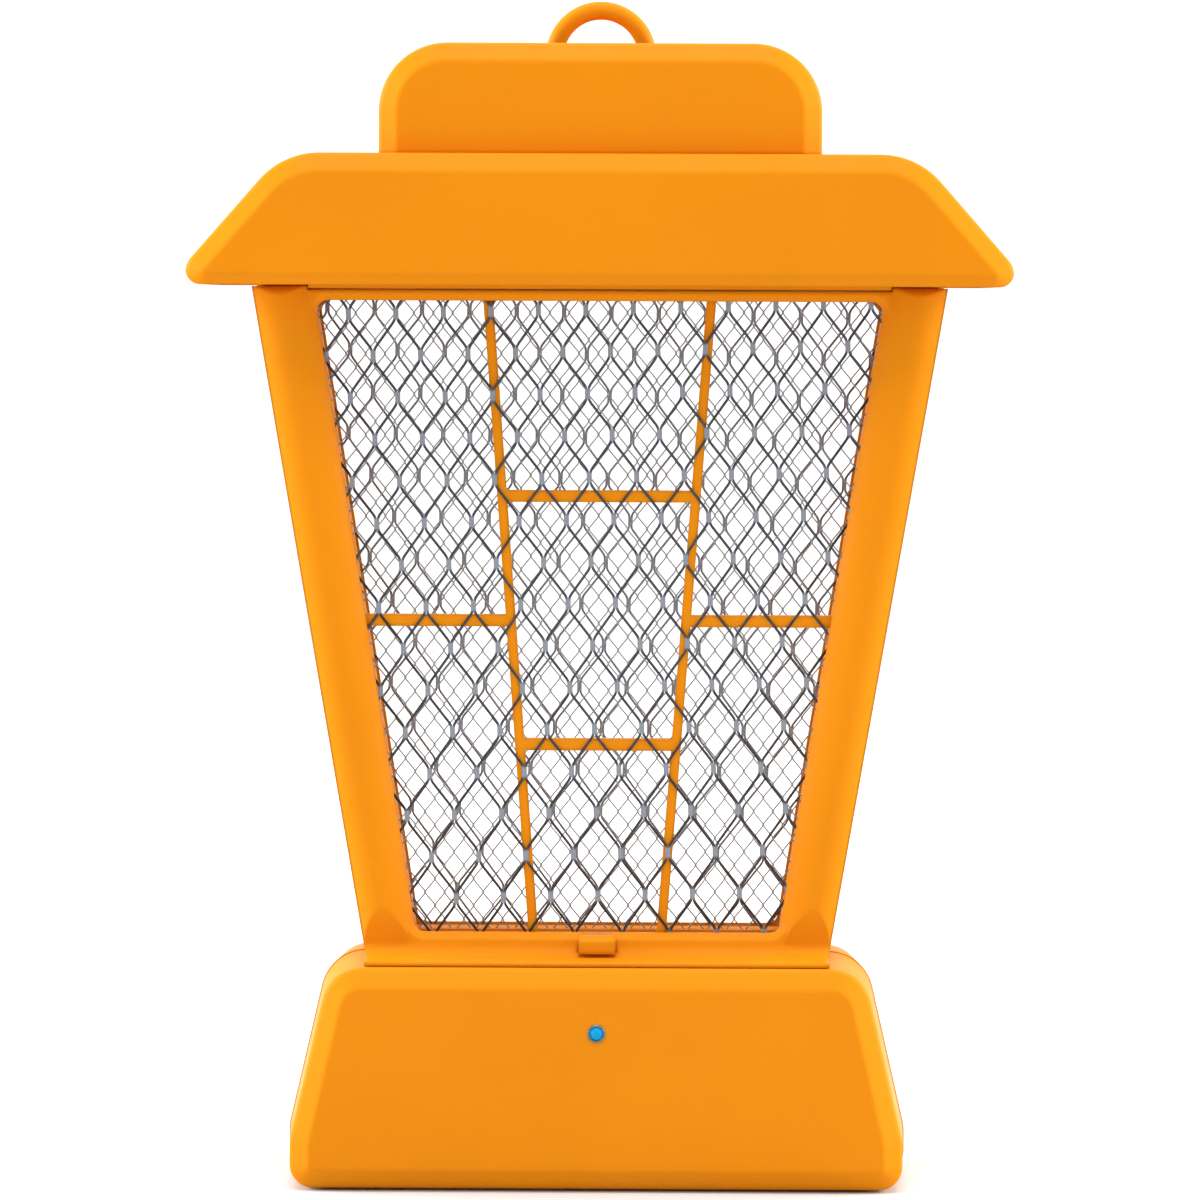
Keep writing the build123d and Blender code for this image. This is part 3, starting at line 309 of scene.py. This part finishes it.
PLASTICS = {
    "orange_gloss": dict(colour=(0.69, 0.224, 0.004), roughness=0.4, specular=0.05, soften=1.3 * MM),
    "orange_inner": dict(colour=(0.66, 0.21, 0.004), roughness=0.46, specular=0.05),
    "black_plastic": dict(
        colour=(0.014, 0.014, 0.016), roughness=0.45, specular=0.4, spread=0.25, soften=0.2 * MM
    ),
    "cell_jacket": dict(
        colour=(0.3, 0.32, 0.35), roughness=0.3, specular=0.5, spread=0.1, soften=0.1 * MM
    ),
    "ferrite": dict(colour=(0.02, 0.02, 0.022), roughness=0.55, specular=0.4, spread=0.3, soften=0.2 * MM),
    "film_brown": dict(
        colour=(0.22, 0.035, 0.015), roughness=0.3, specular=0.5, spread=0.15, soften=0.3 * MM
    ),
    "resistor_body": dict(
        colour=(0.42, 0.28, 0.14), roughness=0.4, specular=0.45, spread=0.12, soften=0.2 * MM
    ),
    "lead_red": dict(colour=(0.4, 0.014, 0.012), roughness=0.45, specular=0.4, spread=0.1, soften=0),
    "lead_black": dict(colour=(0.015, 0.015, 0.015), roughness=0.45, specular=0.4, spread=0.2, soften=0),
}
METALS = {
    "screw_steel": dict(colour=(0.42, 0.42, 0.41), roughness=0.3),
    "spring_steel": dict(colour=(0.52, 0.52, 0.5), roughness=0.24),
}
# the bond colours are painted highlights: the flat bonds facing the front are drawn paler than the twisted
# strands
SHEET_METALS = {
    "grid_metal": dict(
        strand=(0.04, 0.047, 0.056), bond=(0.25, 0.27, 0.31), roughness=0.42, metallic=0.5
    ),
    "live_metal": dict(
        strand=(0.25, 0.275, 0.285), bond=(0.34, 0.365, 0.375), roughness=0.45, metallic=0.3
    ),
}
CLEAR_PLASTICS = {
    "blue_lens": dict(
        tint=(0.001, 0.19, 0.42), roughness=0.25, share=0.1,
        glow=(0.0, 0.42, 0.75), strength=0.34, specular=0.08,
    ),
    "lamp_epoxy": dict(
        tint=(0.7, 0.62, 0.9), roughness=0.1, share=0.6, glow=(0.35, 0.12, 0.9), strength=0.4
    ),
    # clear pale plastic for the lens collar, whose paleness is a painted highlight on the lens hole's edge
    "clear_strip": dict(tint=(0.9, 0.92, 0.95), roughness=0.12, share=0.85),
}

MATERIALS = {
    "board_green": board_mask("board_green"),
    "copper_wire": winding("copper_wire"),
    "rubber_black": soft_rubber("rubber_black"),
}
for make, looks in (
    (moulded_plastic, PLASTICS),
    (plain_metal, METALS),
    (sheet_metal, SHEET_METALS),
    (clear_plastic, CLEAR_PLASTICS),
):
    for name, look in looks.items():
        MATERIALS[name] = make(name, **look)


def dress(piece, name):
    """Give a piece one material in place of any that it has."""
    piece.data.materials.clear()
    piece.data.materials.append(MATERIALS[name])


# ---------------------------------------------------------------- pieces in general


def smooth_object(name, points, faces):
    """A new object with smooth faces, linked to the scene."""
    mesh = bpy.data.meshes.new(name)
    mesh.from_pydata(points, [], faces)
    for polygon in mesh.polygons:
        polygon.use_smooth = True
    thing = bpy.data.objects.new(name, mesh)
    bpy.context.scene.collection.objects.link(thing)
    return thing


def new_piece(name, points, faces, body, slot):
    """A piece of the lantern that rides on a body and has the material of its slot."""
    piece = smooth_object(name, points, faces)
    piece.data.set_sharp_from_angle(angle=SHARP_ANGLE)
    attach(piece, body)
    dress(piece, slot)
    return piece


# ---------------------------------------------------------------- expanded sheets


def sheet_outline(node):
    """Half-width at the foot and at the top, foot z, top z, front y and back y of a flat CAD sheet."""
    low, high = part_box(node)
    points = np.array([v.co for v in frame["nodes"][node].data.vertices])
    foot = points[points[:, 2] < low.z + FOOT_SLICE]
    return np.abs(foot[:, 0]).max(), high.x, low.z, high.z, low.y, high.y


def half_row(sheet):
    """Drops below a bond's centre, each with its share of the way across to the next bond."""
    row, bond, bend = sheet["row"], sheet["bond"], sheet["bend"]
    reach = row - 2 * bond - bend
    drops = [bond + bend * share for share in BEND_SHARES]
    first = [(drop, (drop - bond) ** 2 / (2 * bend) / reach) for drop in drops]
    second = [(row - drop, 1 - share) for drop, share in reversed(first)]
    return first + second


def strand_points(sheet, strand, rows, side):
    """A strand's line from the top down, as (x, z, how near it is to a bond from 0 to 1, way it leans)."""
    centre = (strand + 0.5) * sheet["pitch"] / 2
    reach = sheet["pitch"] / 4 - sheet["width"] / 2
    line = []
    for row in range(*rows):
        way = -side if row % 2 else side
        for drop, share in half_row(sheet):
            past = min(drop, sheet["row"] - drop) - sheet["bond"]
            # near sets the strand's turn and also how far its painted highlight reaches near a bond
            near = 1 - min(1.0, past / (PAINTED_LIGHT_REACH * sheet["bond"]))
            x = centre + way * reach * (1 - 2 * share)
            line.append((x, -row * sheet["row"] - drop, max(0.0, near), way))
    return line


def inside_runs(line, edge):
    """The stretches of a line that lie inside an outline, cut where they cross it."""
    runs, run = [], []
    for start, end in zip(line, line[1:]):
        a, b = edge(start[0], start[1]), edge(end[0], end[1])
        if a > 0 and not run:
            run = [start]
        if a > 0 and b > 0:
            run.append(end)
        elif a * b < 0:
            share = a / (a - b)
            crossing = tuple(p + share * (q - p) for p, q in zip(start[:2], end[:2])) + start[2:]
            if a > 0:
                runs.append(run + [crossing])
                run = []
            else:
                run = [crossing, end]
    return runs + ([run] if len(run) > 1 else [])


def sweep_strand(run, sheet, y, points, faces, painted_bond_light):
    """Sweep a flat section along a run, turned on edge between the bonds."""
    turn = math.radians(sheet["turn"])
    across, deep = sheet["width"] / 2, sheet["thick"] / 2
    start = len(points)
    for index, (x, z, near, way) in enumerate(run):
        ahead, behind = run[min(index + 1, len(run) - 1)], run[max(index - 1, 0)]
        along = Vector((ahead[0] - behind[0], 0, ahead[1] - behind[1])).normalized()
        side = Vector((-along.z, 0, along.x))
        angle = turn * way * (1 - near)
        wide = side * math.cos(angle) + Vector((0, 1, 0)) * math.sin(angle)
        thick = along.cross(wide)
        for u, v in ((-1, -1), (1, -1), (1, 1), (-1, 1)):
            points.append(Vector((x, y, z)) + wide * across * u + thick * deep * v)
            # painted highlight: strands paler near the bonds, lifted everywhere by the sheet's tone
            painted_bond_light.append(sheet["tone"] + (1 - sheet["tone"]) * near)
    sections = len(run)
    for index in range(sections - 1):
        base = start + 4 * index
        for corner in range(4):
            after = (corner + 1) % 4
            faces.append((base + corner, base + after, base + 4 + after, base + 4 + corner))
    last = start + 4 * (sections - 1)
    faces.append((start + 3, start + 2, start + 1, start))
    faces.append((last, last + 1, last + 2, last + 3))


def add_border(outline, points, faces, painted_bond_light):
    """The flat border that the strands run into."""
    foot, top, low, high, front, back = outline
    start = len(points)
    inner_foot, inner_top = foot - BORDER, top - BORDER
    inner_low, inner_high = low + BORDER, high - TOP_BORDER
    corners = [(-foot, low), (foot, low), (top, high), (-top, high)]
    corners += [(-inner_foot, inner_low), (inner_foot, inner_low)]
    corners += [(inner_top, inner_high), (-inner_top, inner_high)]
    for y in (front, back):
        for x, z in corners:
            points.append(Vector((x, y, z)))
    side_points = len(corners)
    # painted highlight: the flat border is drawn pale
    painted_bond_light.extend([BORDER_PAINTED_LIGHT] * 2 * side_points)
    for here in range(4):
        there = (here + 1) % 4
        a, b, c, d = start + here, start + there, start + 4 + there, start + 4 + here
        back_a, back_b, back_c, back_d = (corner + side_points for corner in (a, b, c, d))
        faces.append((a, b, c, d))
        faces.append((back_d, back_c, back_b, back_a))
        faces.append((b, a, back_a, back_b))
        faces.append((d, c, back_c, back_d))


def expanded_sheet(name, node, body, slot, sheet):
    """Expanded sheet metal in place of a flat CAD grid."""
    outline = sheet_outline(node)
    foot, top, low, high, front, back = outline
    sheet = {key: value * MM if key in SHEET_LENGTHS else value for key, value in sheet.items()}
    start = Vector(sheet["start"]) * MM
    y = (front + back) / 2
    slope = (top - foot) / (high - low)
    inset = BORDER - STRAND_LAP
    tilt = Matrix.Rotation(math.radians(sheet["tilt"]), 2)

    def edge(x, z):
        """How far inside the border's inner edge a point is, less than 0 outside it."""
        wide = foot + slope * (z - low) - inset - abs(x)
        return min(wide, z - low - inset, high - 0.5 * TOP_BORDER - z)

    points, faces, painted_bond_light = [], [], []
    reach = 2 * (high - low)
    strands = math.ceil(reach / (sheet["pitch"] / 2))
    rows = math.ceil(reach / sheet["row"])
    for strand in range(-strands, strands):
        line = []
        for x, z, near, way in strand_points(sheet, strand, (-rows, rows), 1 if strand % 2 else -1):
            place = tilt @ Vector((x, z)) + start
            line.append((place.x, place.y, near, way))
        for run in inside_runs(line, edge):
            sweep_strand(run, sheet, y, points, faces, painted_bond_light)
    add_border(outline, points, faces, painted_bond_light)
    piece = new_piece(name, points, faces, body, slot)
    # the 'bond' attribute carries painted light: how pale each point is drawn, palest on the flat
    # front-facing bonds
    attribute = piece.data.attributes.new("bond", "FLOAT", "POINT")
    attribute.data.foreach_set("value", painted_bond_light)
    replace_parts(piece, node)


# ---------------------------------------------------------------- turned pieces


def ring(centre, axis, radius, along, sides, points):
    """Add a ring of points about an axis, and return their numbers."""
    across = axis.orthogonal().normalized()
    other = axis.cross(across)
    start = len(points)
    for step in range(sides):
        angle = 2 * math.pi * step / sides
        spoke = across * math.cos(angle) + other * math.sin(angle)
        points.append(centre + axis * along + spoke * radius)
    return list(range(start, start + sides))


def turn_profile(centre, axis, profile, sides, points, faces):
    """Turn a list of (radius, place along the axis) in mm about the axis, and return the last ring."""
    rings = [ring(centre, axis, radius * MM, along * MM, sides, points) for radius, along in profile]
    for low, high in zip(rings, rings[1:]):
        for step in range(sides):
            after = (step + 1) % sides
            faces.append((low[step], low[after], high[after], high[step]))
    faces.append(tuple(reversed(rings[0])))
    return rings[-1]


def turn_solid(centre, axis, profile, sides, points, faces):
    """Turn an outline and close its far end."""
    faces.append(tuple(turn_profile(centre, axis, profile, sides, points, faces)))


def cross_loop(place, across, other, scale, points):
    """Add the 12 corners of a cross about a place, and return their numbers."""
    long_arm, short_arm = CROSS_ARM * HEAD_RADIUS * scale, CROSS_HALF_SLOT * HEAD_RADIUS * scale
    loop = []
    for quarter in range(4):
        for u, v in ((long_arm, -short_arm), (long_arm, short_arm), (short_arm, short_arm)):
            for _ in range(quarter):
                u, v = -v, u
            loop.append(len(points))
            points.append(place + (across * u + other * v) * MM)
    return loop


def add_head_top(place, axis, rim, top, points, faces):
    """Fill the head's flat top between its rim and the cross recess."""
    across = axis.orthogonal().normalized()
    other = axis.cross(across)
    flat = [
        [Vector(((points[i] - place).dot(across), (points[i] - place).dot(other), 0)) for i in loop]
        for loop in (rim, top)
    ]
    numbers = rim + top
    for triangle in tessellate_polygon(flat):
        a, b, c = (numbers[i] for i in triangle)
        if (points[b] - points[a]).cross(points[c] - points[a]).dot(axis) < 0:
            b, c = c, b
        faces.append((a, b, c))


def add_screw(head_place, tip_place, head_height, points, faces):
    """A screw with a pan head and a cross recess. The head sits on its place; places and height in mm."""
    place, tip = Vector(head_place) * MM, Vector(tip_place) * MM
    axis = (place - tip).normalized()
    length = (place - tip).length / MM
    profile = [(POINT_RADIUS_SHARE * SCREW_RADIUS, -length), (SCREW_RADIUS, POINT_LENGTH - length)]
    profile += [(SCREW_RADIUS, 0)]
    profile += [(HEAD_RADIUS * wide, head_height * high) for wide, high in PAN_HEAD]
    rim = turn_profile(place, axis, profile, SCREW_SIDES, points, faces)
    across = axis.orthogonal().normalized()
    other = axis.cross(across)
    rise = axis * head_height * MM
    top = cross_loop(place + rise, across, other, 1.0, points)
    floor = cross_loop(place + rise * CROSS_FLOOR_HEIGHT, across, other, CROSS_FLOOR_SCALE, points)
    add_head_top(place, axis, rim, top, points, faces)
    corners = len(top)
    for step in range(corners):
        after = (step + 1) % corners
        faces.append((top[after], top[step], floor[step], floor[after]))
    middle = len(points)
    points.append(place + rise * CROSS_MIDDLE_HEIGHT)
    for step in range(corners):
        faces.append((middle, floor[step], floor[(step + 1) % corners]))


def shell_screws():
    """Four screws that hold the base's shells together, put in from the back."""
    low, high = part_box("housing_screws")
    tip_y, head_y = low.y / MM, high.y / MM - SHELL_HEAD_HEIGHT
    points, faces = [], []
    for x, z in SHELL_SCREW_PLACES:
        add_screw((x, head_y, z), (x, tip_y, z), SHELL_HEAD_HEIGHT, points, faces)
    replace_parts(new_piece("shell_screws", points, faces, "housing", "screw_steel"), "housing_screws")


def hood_screws():
    """Two screws that hold the roof's floor, put in from below."""
    low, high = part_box("soffit_screws")
    tip_z, head_z = high.z / MM, low.z / MM + HOOD_HEAD_HEIGHT
    points, faces = [], []
    for x in (-HOOD_SCREW_X, HOOD_SCREW_X):
        add_screw((x, 0, head_z), (x, 0, tip_z), HOOD_HEAD_HEIGHT, points, faces)
    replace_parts(new_piece("hood_screws", points, faces, "housing", "screw_steel"), "soffit_screws")


def cell(name, node, way):
    """An AA cell: a plain sleeve with rolled ends, and two bare metal ends. Its button points to way * X."""
    low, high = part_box(node)
    middle = (low + high) / 2
    centre = Vector((low.x if way > 0 else high.x, middle.y, middle.z))
    axis = Vector((way, 0, 0))
    points, faces = [], []
    turn_solid(centre, axis, CELL_SLEEVE, SLEEVE_SIDES, points, faces)
    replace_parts(new_piece(name, points, faces, "housing", "cell_jacket"), node)
    points, faces = [], []
    turn_solid(centre, axis, CELL_BUTTON, SMALL_SIDES, points, faces)
    turn_solid(centre, axis, CELL_BASE, SMALL_SIDES, points, faces)
    new_piece(name + "_ends", points, faces, "housing", "spring_steel")


def lens_highlight_rim():
    """Pale clear collar round the indicator's lens, on the base's front: a ring added as a painted highlight
    on the lens hole's edge.
    """
    low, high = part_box("indicator_led")
    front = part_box("base_front_shell")[0].y
    centre, axis = Vector((0, front, (low.z + high.z) / 2)), Vector((0, -1, 0))
    points, faces = [], []
    turn_profile(centre, axis, LENS_COLLAR, SMALL_SIDES, points, faces)
    # the collar is a closed ring, so it has no end face
    faces.pop()
    new_piece("lens_highlight_rim", points, faces, "housing", "clear_strip")


# ---------------------------------------------------------------- stage


def make_camera():
    """The camera, turned down and to the left and rolled by its angles."""
    data = bpy.data.cameras.new("camera")
    camera = bpy.data.objects.new("camera", data)
    bpy.context.scene.collection.objects.link(camera)
    data.sensor_width = SENSOR_WIDTH
    data.lens = SENSOR_WIDTH / PICTURE_WIDTH_AT_1M
    down, left = CAMERA_DOWN, -CAMERA_LEFT
    forward = Vector((math.sin(left) * math.cos(down), math.cos(left) * math.cos(down), -math.sin(down)))
    right = Vector((math.cos(left), -math.sin(left), 0))
    up = right.cross(forward)
    axes = Matrix((right, up, -forward)).transposed().to_4x4()
    camera.matrix_world = Matrix.Translation(CAMERA_PLACE) @ axes @ Matrix.Rotation(CAMERA_ROLL, 4, "Z")
    bpy.context.scene.camera = camera


def make_world():
    """An even white sky."""
    world = bpy.data.worlds.new("studio")
    world.use_nodes = True
    sky = world.node_tree.nodes["Background"]
    sky.inputs["Color"].default_value = (1.0, 1.0, 1.0, 1.0)
    sky.inputs["Strength"].default_value = SKY_STRENGTH
    bpy.context.scene.world = world
    bpy.context.scene.view_settings.view_transform = "Standard"


def soft_light(name, place, target, size, power):
    """A rectangular light that aims at a target. Power in watts."""
    data = bpy.data.lights.new(name, "AREA")
    data.shape = "RECTANGLE"
    data.size, data.size_y = size
    data.energy = power
    lamp = bpy.data.objects.new(name, data)
    bpy.context.scene.collection.objects.link(lamp)
    lamp.location = place
    lamp.rotation_euler = (Vector(target) - Vector(place)).to_track_quat("-Z", "Y").to_euler()


def make_floor():
    """A pale floor that curves up into a backdrop."""
    profile = [(FLOOR_FRONT, 0.0), (FLOOR_BACK, 0.0)]
    for step in range(1, BEND_STEPS + 1):
        angle = math.radians(90 * step / BEND_STEPS)
        y = FLOOR_BACK + BACKDROP_BEND * math.sin(angle)
        z = BACKDROP_BEND * (1 - math.cos(angle))
        profile.append((y, z))
    profile.append((FLOOR_BACK + BACKDROP_BEND, BACKDROP_TOP))
    points = [(x, y, z) for y, z in profile for x in (-FLOOR_HALF_WIDTH, FLOOR_HALF_WIDTH)]
    faces = [(2 * i, 2 * i + 1, 2 * i + 3, 2 * i + 2) for i in range(len(profile) - 1)]
    floor = smooth_object("floor", points, faces)
    surface = Surface("floor_paper", Specular_IOR_Level=0.0)
    surface.colour(surface.noise(scale=3), (0.6, 0.6, 0.6), (0.62, 0.62, 0.62))
    surface.rough(surface.noise(scale=20), low=0.8, high=0.9)
    floor.data.materials.append(surface.material)


make_camera()
make_world()
make_floor()
soft_light("left_light", place=(-1.6, 0.2, 0.6), target=OBJECT_MIDDLE, size=(1.0, 1.0), power=46)
soft_light("right_light", place=(1.6, 0.2, 0.6), target=OBJECT_MIDDLE, size=(1.0, 1.0), power=41)
soft_light("top_light", place=(0, -0.5, 1.8), target=OBJECT_MIDDLE, size=(1.4, 0.6), power=20)
soft_light("backdrop_light", place=(0, 1.2, 2.6), target=(0, 3.2, 0.6), size=(3.0, 1.0), power=75)


# ---------------------------------------------------------------- pieces

for row in frame["record"]["subparts"]:
    dress(frame["nodes"][row["node"]], row["material_slot"])

expanded_sheet("front_mesh", "front_grid", "guard", "grid_metal", FRONT_COARSE)
expanded_sheet("rear_mesh", "rear_grid", "housing", "grid_metal", REAR_COARSE)
expanded_sheet("live_mesh", "live_grid", "housing", "live_metal", FINE)
shell_screws()
hood_screws()
cell("lower_sleeve", "lower_cell", -1)
cell("upper_sleeve", "upper_cell", 1)
lens_highlight_rim()
